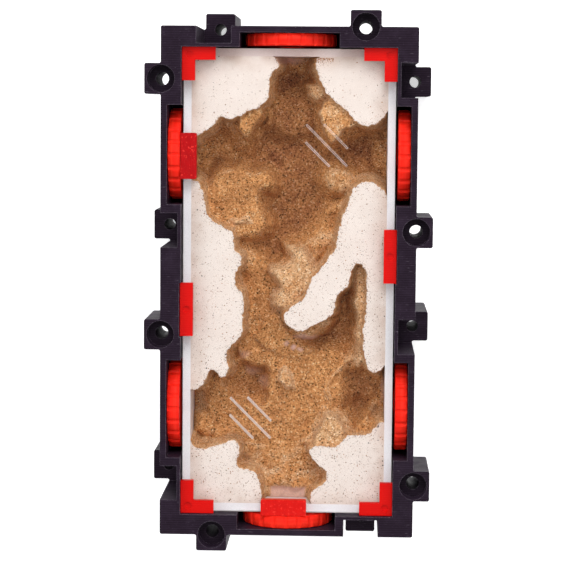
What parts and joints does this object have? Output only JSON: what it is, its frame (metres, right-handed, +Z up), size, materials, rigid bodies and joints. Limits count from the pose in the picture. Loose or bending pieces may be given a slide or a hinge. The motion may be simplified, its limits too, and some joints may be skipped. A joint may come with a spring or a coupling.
{
  "type": "ant habitat module",
  "caption": "Modular ant habitat: a black frame with screw lugs holds a plaster nest with sand under a clear cover, with knurled discs that open its ports.",
  "frame": {"origin": "middle of the frame's base, on the surface it stands on", "axes": "+X across the frame, +Y along it, +Z up through the clear cover"},
  "size_m": [0.1128, 0.2128, 0.08],
  "materials": {
    "frame": "printed, fine layer lines",
    "tray": "white sheet, smooth",
    "plaster": "cast plaster, matt",
    "sand": "loose grains, matt",
    "cover": "clear cast sheet, polished",
    "clips": "printed, fine layer lines",
    "discs": "printed, fine layer lines",
    "shutters": "printed, translucent with sparkle"
  },
  "bodies": {
    "habitat": {"frame": "frame", "tray_floor": "tray", "tray_wall_right": "tray", "tray_wall_back": "tray", "tray_wall_left": "tray", "tray_wall_front": "tray", "plaster_bed": "plaster", "sand_bed": "sand"},
    "disc_right_back": {"disc_right_back": "discs"},
    "disc_right_front": {"disc_right_front": "discs"},
    "disc_back": {"disc_back": "discs"},
    "disc_left_front": {"disc_left_front": "discs"},
    "disc_left_back": {"disc_left_back": "discs"},
    "disc_front": {"disc_front": "discs"},
    "cover": {"cover": "cover", "corner_clip_right_back": "clips", "corner_clip_left_back": "clips", "corner_clip_left_front": "clips", "corner_clip_right_front": "clips", "side_clip_right": "clips", "side_clip_left": "clips"},
    "shutter_left_back": {"shutter_left_back": "shutters"},
    "shutter_front": {"shutter_front": "shutters"}
  },
  "joints": [
    {"name": "turn_right_back", "type": "hinge", "parent": "habitat", "child": "disc_right_back", "pos_m": [0.045, 0.05, 0.061], "axis": [1, 0, 0], "continuous": true},
    {"name": "turn_right_front", "type": "hinge", "parent": "habitat", "child": "disc_right_front", "pos_m": [0.045, -0.05, 0.061], "axis": [1, 0, 0], "continuous": true},
    {"name": "turn_back", "type": "hinge", "parent": "habitat", "child": "disc_back", "pos_m": [0, 0.095, 0.061], "axis": [0, 1, 0], "continuous": true},
    {"name": "turn_left_front", "type": "hinge", "parent": "habitat", "child": "disc_left_front", "pos_m": [-0.045, -0.05, 0.061], "axis": [-1, 0, 0], "continuous": true},
    {"name": "turn_left_back", "type": "hinge", "parent": "habitat", "child": "disc_left_back", "pos_m": [-0.045, 0.05, 0.061], "axis": [-1, 0, 0], "continuous": true},
    {"name": "turn_front", "type": "hinge", "parent": "habitat", "child": "disc_front", "pos_m": [0, -0.095, 0.061], "axis": [0, -1, 0], "continuous": true},
    {"name": "cover_lift", "type": "slide", "parent": "habitat", "child": "cover", "axis": [0, 0, 1], "range_m": [0, 0.045]},
    {"name": "shutter_lift_left_back", "type": "slide", "parent": "cover", "child": "shutter_left_back", "axis": [0, 0, 1], "range_m": [0, 0.04]},
    {"name": "shutter_lift_front", "type": "slide", "parent": "cover", "child": "shutter_front", "axis": [0, 0, 1], "range_m": [0, 0.04]}
  ]
}
